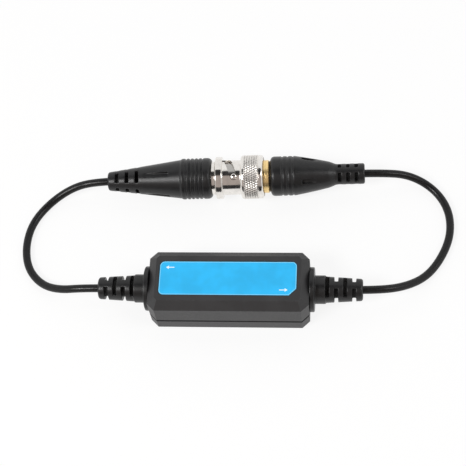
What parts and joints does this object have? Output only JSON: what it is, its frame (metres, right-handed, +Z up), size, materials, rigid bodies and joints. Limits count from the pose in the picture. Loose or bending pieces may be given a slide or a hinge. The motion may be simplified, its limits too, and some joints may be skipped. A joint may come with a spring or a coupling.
{
  "type": "ground loop isolator",
  "caption": "Small in-line video ground loop isolator: moulded case with slotted strain reliefs and thin coaxial leads that end in a bayonet jack and plug, mated with each other.",
  "frame": {"origin": "centre of the case's underside, on the surface that the object lies on", "axes": "+X along the case towards the lead with the plug, +Y from the case to the connectors, +Z up"},
  "size_m": [0.1426, 0.0589, 0.0156],
  "materials": {
    "case_plastic": "fine spark eroded texture",
    "label_blue": "printed satin overlay",
    "moulded_black": "soft moulded vinyl",
    "lead_black": "smooth soft vinyl jacket",
    "nickel": "bright nickel plate",
    "gold": "thin gold plate",
    "insulator_white": "turned white plastic",
    "board_green": "solder mask",
    "ferrite": "sintered ferrite",
    "copper": "enamelled wire",
    "film_case": "dipped film",
    "spring_steel": "drawn",
    "seal": "silicone",
    "wire_insulation": "foamed dielectric",
    "tinned_braid": "twisted braid"
  },
  "bodies": {
    "root": {"housing_bottom": "case_plastic", "housing_top": "case_plastic", "label": "label_blue", "circuit_board": "board_green", "transformer_core": "ferrite", "winding_primary": "copper", "winding_secondary": "copper", "capacitor_left": "film_case", "capacitor_right": "film_case", "strain_relief_left": "moulded_black", "strain_relief_right": "moulded_black", "cable_left": "lead_black", "cable_right": "lead_black", "signal_wire_left": "wire_insulation", "signal_wire_right": "wire_insulation", "braid_tail_left": "tinned_braid", "braid_tail_right": "tinned_braid", "spring_washer": "spring_steel", "gasket": "seal", "plug_body": "gold", "outer_contact": "gold", "plug_insulator": "insulator_white", "plug_pin": "gold", "plug_ferrule": "nickel", "plug_boot": "moulded_black"},
    "nut": {"coupling_nut": "nickel", "retaining_ring": "spring_steel"},
    "jack": {"jack_body": "nickel", "jack_insulator": "insulator_white", "jack_contact": "gold", "jack_ferrule": "nickel", "jack_boot": "moulded_black"}
  },
  "joints": [
    {"name": "nut_turn", "type": "hinge", "parent": "root", "child": "nut", "pos_m": [0, 0.041, 0.0073], "axis": [0.9994, 0.0349, 0], "range_deg": [0, 75]},
    {"name": "jack_draw", "type": "slide", "parent": "root", "child": "jack", "axis": [-0.9994, -0.0349, 0], "range_m": [0, 0.0024]}
  ],
  "couplings": [
    {"joint": "nut_turn", "follows": "jack_draw", "rad_per_m": 545.41}
  ]
}
